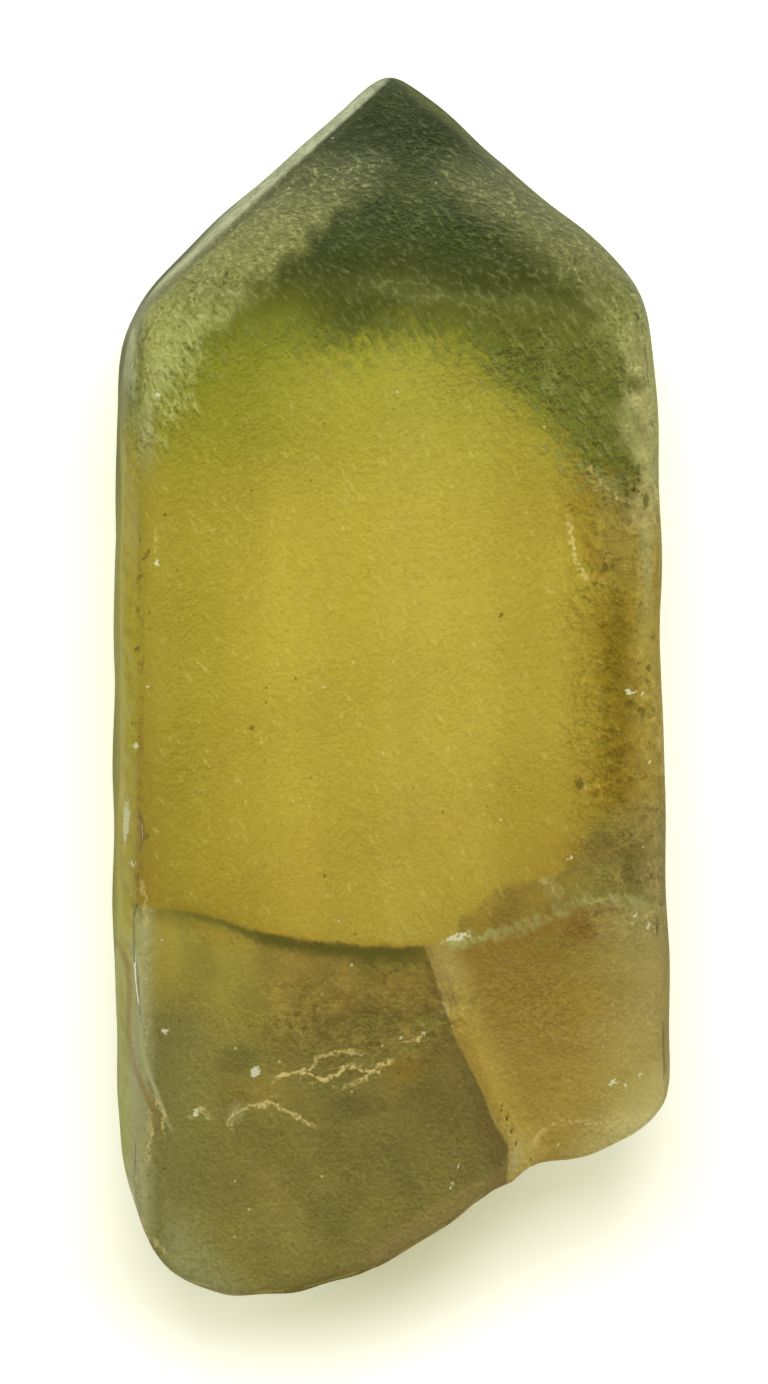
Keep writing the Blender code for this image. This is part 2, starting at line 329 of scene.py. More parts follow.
# Fine glinting lines in three groups, each line with how strong it is; "x" lines give y along x, "y" lines
# give x along y. Lines of one group keep clear of each other.
LINES = [
    [
        ("x", 1.0, [(-2.49, -7.92), (-2.27, -7.84), (-1.99, -7.76), (-1.77, -7.82), (-1.45, -7.92),
                    (-1.17, -7.78), (-0.95, -7.65), (-0.79, -7.7), (-0.57, -7.76), (-0.35, -7.65),
                    (-0.13, -7.54)]),
        ("y", 0.7, [(-9.52, -5.01), (-9.18, -4.93), (-8.58, -4.95)]),
        ("x", 0.45, [(2.67, -9.3), (2.83, -9.04), (3.07, -8.82), (3.43, -8.76), (3.83, -8.78)]),
        ("y", 0.75, [(2.1, 3.85), (2.3, 3.65), (2.7, 3.5), (3.05, 3.46), (3.3, 3.44)]),
        ("y", 0.35, [(2.56, -4.89), (2.84, -4.83), (3.12, -4.79)]),
        ("y", 0.5, [(-2.62, -5.35), (-2.32, -5.45), (-1.96, -5.47)]),
        ("x", 0.12, [(-0.5, 7.92), (-0.1, 8.06), (0.45, 8.0)]),
    ],
    [
        ("x", 0.6, [(-1.72, -7.7), (-1.61, -7.51), (-1.28, -7.4), (-0.89, -7.36), (-0.67, -7.4)]),
        ("x", 0.8, [(0.11, -7.18), (0.37, -7.12), (0.57, -7.0)]),
        ("y", 0.7, [(-8.96, -4.69), (-8.64, -4.67), (-8.26, -4.85)]),
        ("x", 0.4, [(2.89, -3.94), (3.07, -4.06), (3.21, -4.26)]),
        ("x", 0.1, [(0.2, 7.74), (0.9, 7.75), (1.5, 7.55), (2.1, 7.28)]),
        ("y", 0.5, [(-11.45, -4.6), (-11.1, -4.93), (-10.6, -5.2), (-10.1, -5.38)]),
        ("y", 0.4, [(-6.64, 1.07), (-6.5, 0.99), (-6.34, 0.93)]),
    ],
    [
        ("x", 0.9, [(-3.37, -8.86), (-3.25, -8.58), (-2.98, -8.5), (-2.65, -8.38), (-2.32, -8.5),
                    (-1.99, -8.69), (-1.71, -8.86)]),
        ("x", 0.45, [(-1.17, -8.08), (-0.89, -8.03), (-0.62, -7.92), (-0.51, -7.76)]),
        ("x", 0.55, [(3.85, 4.28), (4.1, 4.0), (4.35, 3.78), (4.57, 3.62)]),
        ("y", 0.5, [(-2.1, 5.42), (-1.6, 5.33), (-1.1, 5.29), (-0.6, 5.32), (-0.1, 5.37)]),
        ("y", 0.5, [(-4.85, -5.02), (-4.4, -5.06), (-3.95, -5.12)]),
        ("x", 0.6, [(-4.15, -8.64), (-4.03, -8.54), (-3.75, -8.66)]),
    ],
]

# Soft patches on the upper face, under their colour: (x, y, half length, half width, degrees, strength).
MARKS = {
    (84, 82, 38): [  # dark patches
        (-1.21, 10.92, 0.26, 0.12, -35, 0.6), (4.71, -3.68, 0.28, 0.44, 0, 0.45),
        (4.03, -3.08, 0.2, 0.28, 0, 0.35), (-3.21, -7.52, 0.4, 0.26, 20, 0.4),
        (-0.6, -6.75, 1.15, 0.3, 8, 0.35), (4.55, 3.75, 0.1, 0.5, 12, 0.4),
        (-0.75, -8.45, 0.5, 0.22, 0, 0.4),
    ],
    (160, 130, 42): [  # golden glows
        (0.17, -7.76, 0.48, 0.3, 20, 0.45), (-3.53, -5.12, 0.56, 0.16, -20, 0.5),
        (-2.79, -8.16, 0.68, 0.4, 0, 0.22), (3.71, -6.32, 0.56, 0.4, 10, 0.35),
        (3.77, 2.96, 0.18, 0.4, 5, 0.3),
    ],
    (124, 84, 30): [  # rusty stains
        (3.63, -4.96, 0.34, 0.2, 0, 0.5), (-3.15, -8.32, 0.18, 0.16, 0, 0.35),
        (4.91, -3.12, 0.16, 0.4, 0, 0.15), (3.95, 2.55, 0.5, 0.14, -62, 0.35),
        (4.75, -0.1, 0.3, 0.08, 80, 0.25),
    ],
    (178, 176, 112): [  # pale bloom
        (0.97, -6.48, 0.16, 0.06, -70, 0.4), (-4.83, 6.24, 0.2, 0.12, 80, 0.35),
        (-4.99, 5.28, 0.52, 0.14, 85, 0.3), (4.21, 3.92, 0.48, 0.22, -40, 0.2),
        (2.33, -9.52, 0.24, 0.12, 80, 0.5), (4.99, 2.5, 1.05, 0.1, -87, 0.4),
        (3.07, -4.08, 0.24, 0.16, -50, 0.25), (-3.22, -8.55, 0.22, 0.16, 60, 0.45),
    ],
}

# Small sharp spots on the upper face, as above: white chips and painted glints, and dark pits.
WHITE_CHIPS_AND_GLINTS = [
    (-2.85, -7.76, 0.12, 0.1, 60, 0.95), (-4.03, -8.58, 0.12, 0.12, 0, 0.55),
    (-4.65, -6.96, 0.09, 0.08, 0, 0.7), (-4.81, 5.78, 0.09, 0.08, 0, 0.7),
    (4.31, -7.98, 0.16, 0.06, 20, 0.5), (4.57, -8.04, 0.14, 0.06, -30, 0.35),
    (4.83, -7.86, 0.12, 0.06, 50, 0.35), (-5.42, -2.75, 0.55, 0.08, 86, 0.8),
    (-5.31, -3.6, 0.12, 0.08, 0, 0.7), (-5.23, -1.24, 0.1, 0.08, -40, 0.6),
    (-5.01, -0.04, 0.1, 0.08, -40, 0.35), (3.45, -3.48, 0.1, 0.08, 0, 0.5),
    (5.45, -1.12, 0.92, 0.06, 89, 0.5), (0.55, -6.98, 0.1, 0.08, 60, 0.45),
    (0.07, -7.08, 0.08, 0.12, 0, 0.3), (1.11, -10.04, 0.2, 0.08, 50, 0.35),
    (1.23, -9.68, 0.09, 0.08, 0, 0.4), (4.61, -0.16, 0.08, 0.08, 0, 0.6),
    (3.63, 2.32, 0.1, 0.08, -40, 0.45), (4.77, -4.62, 0.08, 0.08, 0, 0.6),
    (5.01, -4.86, 0.09, 0.08, 0, 0.6), (4.75, -0.2, 0.07, 0.07, 0, 0.5),
    (4.9, -0.18, 0.08, 0.06, 0, 0.4), (5.05, -1.56, 0.08, 0.07, 0, 0.5),
    (-4.83, 2.42, 0.08, 0.08, 0, 0.65), (4.09, -7.24, 0.08, 0.07, 0, 0.5),
    (1.2, -5.06, 0.34, 0.09, 12, 0.7),
]
DARK_SPOTS = [
    (4.66, -0.4, 0.12, 0.09, -30, 0.8), (4.9, -0.58, 0.12, 0.08, -60, 0.8),
    (5.03, 0.32, 0.09, 0.07, -60, 0.7), (4.86, 0.42, 0.08, 0.07, 0, 0.5),
    (5.0, 0.05, 0.1, 0.07, -50, 0.5), (5.13, 0.95, 0.12, 0.06, 80, 0.4),
    (4.97, 3.65, 0.22, 0.07, 85, 0.7), (3.62, -2.02, 0.13, 0.12, 0, 0.7),
    (3.95, 2.0, 0.1, 0.08, 0, 0.5), (4.14, 2.3, 0.12, 0.08, 30, 0.5),
    (-5.03, -3.05, 0.12, 0.07, 80, 0.45), (-5.3, -0.8, 0.1, 0.07, 0, 0.5),
    (-5.2, 1.5, 0.1, 0.07, 60, 0.5), (-5.22, 0.7, 0.1, 0.07, 60, 0.5),
    (-5.18, 2.1, 0.12, 0.07, 60, 0.5), (-2.93, -0.88, 0.09, 0.08, 0, 0.6),
    (-1.47, -3.82, 0.09, 0.08, 0, 0.5), (2.29, -2.16, 0.09, 0.08, 0, 0.45),
    (2.07, 1.38, 0.09, 0.08, 0, 0.4), (4.89, -0.56, 0.14, 0.1, -35, 0.6),
    (5.07, -0.4, 0.08, 0.08, 0, 0.35), (-5.23, -3.88, 0.09, 0.1, 0, 0.45),
    (-5.03, 2.58, 0.18, 0.07, 50, 0.45), (-4.65, 3.36, 0.09, 0.08, 0, 0.45),
    (-1.13, 10.84, 0.1, 0.08, 0, 0.4),
]

# How the body's colour changes from its middle line outward: as x goes between two places, the colour
# comes to be multiplied by (red, green, blue). The darkening toward the edges is partly painted shade:
# the middle, where most light comes through, is brighter.
SHADES = [
    ((0.0, -0.6), (0.975, 0.965, 0.83)),  # a little darker and yellower
    # painted shade toward the left edge, with the stone's olive
    ((-1.7, -4.3), (0.78, 0.79, 0.66)),  # deeper olive toward the left edge
    ((-4.3, -5.3), (1.02, 1.03, 1.2)),  # and paler on it
    ((0.4, 1.2), (0.96, 0.95, 0.885)),
    ((1.75, 2.2), (0.93, 0.9, 0.85)),  # the step to the brownish right side
    ((2.9, 4.0), (0.8, 0.74, 0.64)),
    ((4.0, 4.4), (0.8, 0.76, 0.8)),  # the brown band
    ((4.5, 5.1), (1.54, 1.78, 2.85)),  # the pale worn edge
]

# The skin's shine adds some light to every colour, and the room's light scales what is left.
HAZE = (0.03, 0.037, 0.001)
GAIN = (0.95, 0.98, 0.82)

CLOUD_WAVES = 16
BROWN_X = 4.35  # the brown band's middle
STRIP = (0.34, 0.12)  # inside the outline, where the worn left side fades in
VEIL_SLANT = [[0.35, 0.25, 0], [-0.5, 1.2, 0], [0, 0, 1]]
ROUNDING = 0.9  # how far a worn edge reaches into its faces

# Where the upper face's marks fade in on the way up, and the sides on the way down.
LINE_HEIGHTS = (DEPTH - 2.6, DEPTH - 1.8)
SPOT_HEIGHTS = (DEPTH - 1.7, DEPTH - 1.0)
MARK_HEIGHTS = (DEPTH - 1.3, DEPTH - 0.8)
SIDE_DEPTHS = (0.8, 3.0)

LEAST_LENGTH = 0.09  # the least half length and half width of a spot
LEAST_WIDTH = 0.075
FAR = 0.5  # the offset where no line is near

# The camera looks down on the upper face, from a little to the left. The photograph is PHOTO_HEIGHT pixels
# high, with PIXELS_PER_MM of them to a millimetre of that face.
SIGHT = (-0.28, -0.16, DEPTH)
DISTANCE = 300.0
LEAN = math.radians(2.3)
PHOTO_HEIGHT = 1384
PIXELS_PER_MM = 50
SENSOR = 36
CLIP_NEAR = 0.01  # metres, as the room's measures are
CLIP_FAR = 10

# The room: a pale floor with a faint yellow glow, dim white surroundings, and soft square lamps, each with
# its place, its side, and its power in watts.
FLOOR_SIDE = 1.2
FLOOR_TONE = (0.88, 0.88, 0.88, 1)
FLOOR_GLOW = (1, 1, 0.25, 1)
GLOW_STRENGTH = 0.25
ROOM_STRENGTH = 0.1
LAMPS = {
    "left": ((-0.18, 0.125, 0.395), 0.2, 0.96),
    "right": ((0.176, 0.115, 0.398), 0.2, 0.94),
    "top": ((-0.01, 0.078, 0.42), 0.1, 1.11),
}
LAMP_TARGET = (0, 0, 0.005)


def value_at(x, knots):
    """The value at x on straight lines through the knots."""
    return np.interp(x, *zip(*knots))


def linear(red, green, blue):
    """A colour given in display values from 0 to 255, as linear light."""
    values = np.array([red, green, blue]) / 255
    return np.where(values <= 0.04045, values / 12.92, ((values + 0.055) / 1.055) ** 2.4)


def seen(red, green, blue):
    """The colour to give the stone so that it is seen as this display colour."""
    return np.maximum(linear(red, green, blue) - HAZE, 0) / GAIN


# The stone's see-through body and its shine.
IOR = 1.95
TRANSMISSION = 0.55
SHINE = 0.1
SHINE_TINT = (0.16, 0.2, 0.02, 1.0)
BODY_COLOUR = (0.9, 0.88, 0.5)
BODY_DENSITY = 40.0

# Its skin: the streaks' slant and flatness, how fine, detailed and rough each noise is, and the relief's
# height in metres.
STREAK_SLANT = math.radians(-33)
STREAK_SHARE = 0.3
STREAKS = (9.0, 2.0, 0.65)
GRAIN = (13.0, 1.0, 0.6)
PEEL = (4.5, 2.0, 0.55)
RELIEF = 0.00006
RELIEF_STRENGTH = 0.6

# Its small marks' colours.
# The pale frosted streaks, which also carry painted light on the left of the tip
FROST_AND_LIGHT = linear(158, 164, 112)
GLINT = linear(216, 208, 120)
RIM_SHADE = linear(58, 64, 34)
# The worn rim's colour, with a painted highlight in it
WORN_RIM_HIGHLIGHT = linear(220, 228, 192)
# The crack's dark line and the painted shade under the step
CRACK_LINE_AND_SHADE = linear(80, 80, 42)
PALE_CRACK = linear(176, 176, 116)
FACET_WHITE = linear(190, 190, 144)
FACET_RUST = linear(150, 112, 58)
EDGE_RUST = linear(116, 88, 40)
LINE_GLINT = linear(222, 200, 130)
PIT = linear(84, 78, 34)
# White chips, and painted glints
CHIP_AND_GLINT = linear(226, 226, 192)
GLINT_SPECK = linear(206, 206, 152)
DARK_SPECK = linear(92, 76, 32)


def blend(share, first, second):
    """Goes from the first colour to the second, point by point."""
    share = np.asarray(share)[..., None]
    return np.asarray(first) * (1 - share) + np.asarray(second) * share


def tint(share, colour, factor):
    """Multiplies the colour by the factor as share goes from 0 to 1."""
    return blend(share, colour, colour * factor)


def clouds(p, pitch, seed):
    """Soft patches from 0 to 1, about pitch millimetres apart."""
    random = np.random.default_rng(seed)
    total = np.zeros(len(p))
    for _ in range(CLOUD_WAVES):
        direction = random.normal(size=3)
        direction *= random.uniform(0.6, 1.5) * 2 * math.pi / pitch / np.linalg.norm(direction)
        total += np.sin(p @ direction + random.uniform(0, 2 * math.pi))
    return fade(total / 5, -1, 1)


def depth_under(faces, p):
    """How far inside each of the faces the points are."""
    return [(np.array(point) - p) @ np.array(normal) for normal, point in faces]


def edge_fields(p):
    """For each point: how rounded the stone is there, its distance to the nearest long edge, and how far
    it is inside the outline and under the front."""
    front, back, left, right = depth_under(prism_faces(), p)
    high_left, high_right, high_front, high_back = depth_under(pyramid_faces(), p)
    planes = [front, back, left, right, high_left, high_right, high_front, high_back]
    planes = np.sort(np.array(planes), axis=0)
    wear = np.clip(1 - (planes[1] - planes[0]) / ROUNDING, 0, 1)
    left, right = np.minimum(left, high_left), np.minimum(right, high_right)
    front, back = np.minimum(front, high_front), np.minimum(back, high_back)
    to_edge = np.sort(np.array([left, right, front, back]), axis=0)[1]
    return wear, to_edge, np.minimum(left, right), front


# In the colour functions, fade(x, 1, 2) brings a colour in as x goes from 1 to 2. A triple of numbers is
# linear red, green and blue, or a factor on each.


def side_bands(p):
    """Faint bands along the stone's sides."""
    return clouds(p * (1, 0.1, 1), 1.6, 93)


def right_strip(p, outline):
    """The light strip down the right edge, with a ragged border."""
    return fade(outline + 0.4 * (clouds(p, 0.6, 33) - 0.5), 0.85, 0.25)


def worn_side(p, pale, under):
    """The worn left side: brownish olive, greyer where pale is 1, with faint bands and a scuffed edge."""
    colour = blend(pale, (0.45, 0.385, 0.035), (0.43, 0.42, 0.13))
    colour = tint(fade(under, 1.5, 5.0), colour, (0.72, 0.78, 1.1))
    bands = side_bands(p)
    colour = tint(0.5 * bands * fade(under, 0.5, 2.5), colour, (0.72, 0.74, 0.6))
    edge = fade(under, 2.6, 0.8)
    ticks = fade(clouds(p * (1, 1, 0.25), 0.32, 91), 0.5, 0.9)
    colour = blend(0.4 * ticks * edge, colour, (0.22, 0.15, 0.02))
    scuffs = fade(clouds(p * (1, 1, 0.4), 0.5, 92), 0.75, 1.0)
    return blend(0.25 * scuffs * edge, colour, (0.6, 0.58, 0.22))


def body_colours(p, outline, under, side):
    """The clear body above the ledge: greener near the pyramid, golden lower down, brown at the right."""
    x, y, _ = p.T
    colour = blend(fade(y, 7.0, 2.5), seen(163, 159, 57), seen(188, 171, 66))
    colour = blend(fade(y, 1.0, -4.2), colour, seen(180, 158, 61))
    # The shades across the body, partly painted shade toward its edges
    for (start, end), shade in SHADES:
        colour = tint(fade(x, start, end), colour, shade)
    colour = tint(0.2 * clouds(p * (1, 0.06, 1), 1.0, 21), colour, (0.64, 0.66, 0.62))
    colour = tint(0.2 * clouds(p, 2.2, 22), colour, (0.85, 0.82, 0.7))
    # Darker olive low on the left
    colour = tint(0.2 * fade(x, -3.4, -4.4) * fade(y, 0.5, -1.5), colour, (0.7, 0.72, 0.8))
    # The hollow above the ledge on the right
    below_scar = fade(y - SCAR(x), 0.08, -0.08) * (x > 1.2)
    scar = blend(fade(x, 2.4, 4.4), seen(136, 114, 46), seen(136, 124, 57))
    scar = blend(fade(x, 4.5, 5.2), scar, seen(154, 143, 78))
    below_scar *= 1 - 0.75 * side
    colour = blend(below_scar * (0.6 + 0.4 * clouds(p, 0.8, 23)), colour, scar)
    colour = blend(0.8 * fade(y - SCAR(x), 1.0, 0.1) * fade(x, 2.9, 4.2), colour, scar)
    # Deeper green under the tip on the left, and the brown band's darkest stretch
    green = fade(x, -1.6, -2.6) * fade(y, 4.0, 5.2)
    colour = tint(green, colour, (0.8, 0.84, 0.8))
    brown = fade(np.abs(x - BROWN_X + 0.1 * clouds(p, 1.5, 24)), 0.45, 0.15)
    brown = brown * fade(y, 2.0, 1.2) * fade(y, -2.9, -1.7)
    colour = tint(brown, colour, (0.8, 0.76, 0.66))
    colour = tint(brown * fade(y, -1.5, 0.5), colour, (0.9, 0.87, 0.75))
    # Faint bands along the right side and the back
    bands = side_bands(p)
    colour = tint(0.4 * side * bands, colour, (0.72, 0.74, 0.7))
    # Frost inside the left edge up by the tip, with painted light from the upper left, and light strips
    # down the right edge
    left = fade(x, 0, -3)
    frosted = fade(np.abs(outline - 0.42), 0.26, 0.1) * left * fade(y, 3.8, 5.0)
    colour = blend(0.5 * frosted, colour, seen(158, 160, 104))
    light = right_strip(p, outline)
    light *= fade(x, 0, 3) * fade(y, 2.0, 3.6)
    colour = blend(0.85 * light, colour, seen(182, 168, 98))
    faded = fade(np.abs(x - BROWN_X), 0.5, 0.2) * fade(y, 1.6, 2.5) * fade(y, 4.2, 3.4)
    colour = blend(0.45 * faded, colour, seen(166, 148, 66))
    lighter = fade(np.abs(x - 4.95), 0.2, 0.05) * fade(y, 0.2, 1.2) * fade(y, 3.8, 2.8)
    colour = blend(0.5 * lighter, colour, seen(168, 158, 80))
    strip = fade(outline, *STRIP) * left
    return blend(strip, colour, worn_side(p, np.zeros(len(p)), under))


def frost_and_light_fields(p, to_edge):
    """Frosted skin along the tip's edges with painted light from the upper left: wide on the left, narrow
    on the right.
    """
    x, y, _ = p.T
    ragged = to_edge + 0.3 * (clouds(p, 0.7, 32) - 0.5)
    wide = fade(ragged, 1.75, 1.25) * fade(x, 0.2, -0.5)
    narrow = 0.65 * fade(ragged, 1.5, 0.8) * fade(x, -0.5, 0.4) * fade(y, 6.0, 7.3)
    return np.clip(wide + narrow, 0, 1) * fade(y, 11.0, 10.3)


def tip_colours(p, frost_and_light, outline):
    """The tip: the stone's green darkened with painted shade, and its frosted bands with painted light on
    the left.
    """
    x, y, _ = p.T
    # Painted shade: the tip's green is darkened, most of all toward the apex
    colour = blend(fade(y, 5.8, 8.0), (0.06, 0.068, 0.012), (0.032, 0.044, 0.011))
    colour = blend(fade(y, 8.1, 9.2), colour, (0.008, 0.021, 0.0))
    colour = blend(fade(x, 1.8, 3.0) * fade(y, 8.6, 7.2), colour, (0.1, 0.106, 0.03))
    colour = blend(fade(x, -0.9, -2.2) * fade(y, 8.4, 7.2), colour, (0.14, 0.15, 0.022))
    colour = blend(0.14 * clouds(p * (1, 1.4, 1), 1.6, 31), colour, (0.07, 0.08, 0.022))
    # Light patches at the pyramid's foot, worn and with a painted highlight along the crease, olive under
    # them, and a lighter band under the apex
    arc = y - 7.75 + 0.05 * (x - 1.2) ** 2
    olive = fade(arc, 0.0, -0.15) * fade(x, -0.9, 0.2)
    colour = blend(0.7 * olive, colour, (0.105, 0.11, 0.024))
    under_apex = fade(y, 9.6, 10.1) * fade(y, 10.8, 10.3)
    under_apex *= 0.35 + 0.35 * fade(np.abs(x), 0.4, 1.4)
    colour = blend(under_apex, colour, (0.055, 0.07, 0.016))
    # Painted highlight on the worn crease at the pyramid's foot, in a patch and along an arc
    worn = np.exp(-(((x + 0.1) / 1.0) ** 2) - ((y - 7.95) / 0.25) ** 2)
    worn_arc_highlight = np.exp(-((arc / 0.13) ** 2)) * fade(x, -0.2, 0.6) * fade(x, 3.4, 2.4)
    colour = blend(np.clip(0.45 * worn + 0.4 * worn_arc_highlight, 0, 1), colour, (0.17, 0.19, 0.06))
    pale = blend(fade(y, 10.6, 8.4), (0.10, 0.12, 0.05), (0.24, 0.255, 0.085))
    pale = blend(fade(y, 8.2, 6.8), pale, (0.4, 0.41, 0.13))
    colour = blend(0.95 * frost_and_light, colour, pale)
    # Darker just inside the left gable's rim, most of all round the shoulder
    dark = fade(outline, 0.3 + 0.3 * fade(y, 9, 7), 0.15) * fade(x, 0, -1)
    colour = blend(0.6 * dark, colour, (0.1, 0.108, 0.035))
    # A light strip down the right edge
    light = right_strip(p, outline) * fade(x, -0.2, 0.5)
    colour = blend(0.8 * light * fade(y, 7.8, 6.2), colour, (0.56, 0.51, 0.22))
    rim = fade(outline, 0.3, 0.12) * fade(x, -0.2, 0.5)
    return blend(0.35 * rim, colour, (0.42, 0.45, 0.2))


def low_left_colours(p, outline, under):
    """The break below the ledge, left of the ridge: olive, brown under the crack."""
    x, y, _ = p.T
    below = ledge_y(x) - y
    colour = blend(fade(below, 0.8, 2.8), seen(133, 114, 48), seen(124, 115, 52))
    upper_left = fade(x, -1.9, -3.4) * fade(below, 3.0, 1.2)
    colour = blend(upper_left, colour, seen(141, 131, 52))
    colour = tint(0.4 * clouds(p, 1.8, 41), colour, (1.3, 1.28, 1.2))
    colour = tint(0.55 * clouds(p, 1.1, 42), colour, (0.66, 0.68, 0.72))
    # Faint upright brush marks under the crack
    brush = clouds(p * (1, 0.25, 1), 0.5, 43) * fade(below, 2.2, 0.8)
    colour = tint(0.35 * brush, colour, (0.7, 0.74, 0.8))
    # Darker beside the ridge, lighter and greener toward the left edge, and pale along it
    by_ridge = fade(x, -0.2, 1.0) * fade(below, 0.8, 2.0)
    colour = blend(0.35 * by_ridge, colour, seen(106, 96, 44))
    colour = tint(fade(x, -1.0, -2.8), colour, (1.18, 1.18, 1.12))
    green = fade(x, -3.0, -4.6) * fade(below, 1.2, 2.6)
    colour = blend(0.7 * green, colour, seen(122, 120, 60))
    edge = fade(outline, 0.8, 0.42) * fade(x, -2, -4)
    colour = blend(0.85 * edge, colour, seen(168, 167, 106))
    corner = fade(x + 0.9 * y, -13.4, -14.6) * fade(x, -4.9, -4.4)
    colour = blend(0.5 * corner, colour, seen(152, 150, 94))
    strip = fade(outline, *STRIP) * fade(x, -2, -4)
    colour = blend(strip, colour, worn_side(p, fade(y, -4.7, -5.6), under))
    # A brownish lip along the lower right of the lobe
    lip = fade(LOBE_EDGE(x) - y, -0.42, -0.2) * fade(x, -1.2, 0.0)
    colour = blend(0.6 * lip, colour, seen(140, 124, 66))
    # Painted light: lighter to make up for the little lamp light on the break's sloping faces
    return colour * (1.18, 1.22, 1.2)


def low_right_colours(p):
    """The break right of the ridge: golden brown, paler toward its lower right corner."""
    x, y, _ = p.T
    below = ledge_y(x) - y
    colour = blend(fade(below, 0.6, 3.8), seen(138, 116, 49), seen(154, 132, 59))
    colour = blend(0.7 * fade(x, 3.2, 5.4), colour, seen(170, 160, 96))
    colour = blend(fade(x - y, 12.2, 14.2), colour, seen(196, 189, 124))
    strip = blend(fade(y, -7.0, -5.8), seen(170, 150, 66), seen(170, 152, 82))
    strip = blend(fade(y, -8.6, -9.2), strip, seen(174, 156, 84))
    colour = blend(0.85 * fade(x - RIDGE(y), 1.0, 0.25), colour, strip)
    golden = np.exp(-(((x - RIDGE(y) - 0.25) / 0.22) ** 2) - ((y + 7.4) / 0.7) ** 2)
    colour = blend(0.45 * golden, colour, seen(176, 148, 60))
    colour = tint(0.4 * clouds(p, 1.3, 51), colour, (0.86, 0.82, 0.78))
    veils = fade(clouds(p @ VEIL_SLANT, 0.9, 52), 0.3, 0.9)
    colour = tint(0.4 * veils, colour, (0.82, 0.8, 0.72))
    edge = fade(x, 4.1, 4.9) * fade(below, 1.4, 0.4)
    # The pale edge, and painted light: all lighter to make up for the little lamp light on the sloping
    # break
    return blend(0.6 * edge, colour, seen(152, 144, 84)) * (1.22, 1.24, 1.06)


def line_fields(p):
    """How far each point is to one side of each group's nearest line, and how strong lines are there."""
    x, y, z = p.T
    offsets, share = np.full((len(p), len(LINES)), FAR), np.zeros(len(p))
    for group, lines in enumerate(LINES):
        for axis, strength, knots in lines:
            along, across = (x, y) if axis == "x" else (y, x)
            curve = curve_through(knots)
            slope = (curve(along + 0.01) - curve(along - 0.01)) / 0.02
            off = (across - curve(along)) / np.sqrt(1 + slope ** 2)
            first, last = knots[0][0], knots[-1][0]
            beyond = np.maximum(first - along, along - last)
            near = fade(np.abs(off), 0.24, 0.12) * fade(beyond, 0.1, -0.06)
            take = (np.abs(off) < 0.3) & (beyond < 0.2) & (np.abs(off) < np.abs(offsets[:, group]))
            offsets[take, group] = off[take]
            share = np.maximum(share, near * strength)
    return offsets, share * fade(z, *LINE_HEIGHTS)


def turned(p, x, y, degrees):
    """How far the points are from (x, y), along a line at that angle and across it."""
    c, s = math.cos(math.radians(degrees)), math.sin(math.radians(degrees))
    u, v = p[:, 0] - x, p[:, 1] - y
    return u * c + v * s, v * c - u * s


def spot_field(p, spots):
    """How deep inside a spot each point is: from 0 at its end up to 1 in a strong one's middle."""
    inside = np.zeros(len(p))
    for x, y, length, width, angle, strength in spots:
        along, across = turned(p, x, y, angle)
        far = np.hypot(along / max(length, LEAST_LENGTH), across / max(width, LEAST_WIDTH))
        inside = np.maximum(inside, (0.45 + 0.55 * strength) * np.clip(1 - 0.55 * far, 0, 1))
    return inside * fade(p[:, 2], *SPOT_HEIGHTS)


def paint_marks(p, colour):
    """The colours with the soft patches of the upper face painted over them."""
    rim = 0.35 * (clouds(p, 0.35, 61) - 0.5)
    upper = fade(p[:, 2], *MARK_HEIGHTS)
    for tone, marks in MARKS.items():
        share = np.zeros(len(p))
        for x, y, length, width, angle, strength in marks:
            along, across = turned(p, x, y, angle)
            far = np.hypot(along / length, across / width) + rim
            share = np.maximum(share, strength * fade(far, 1.5, 0.5))
        colour = blend(share * upper, colour, seen(*tone))
    return colour


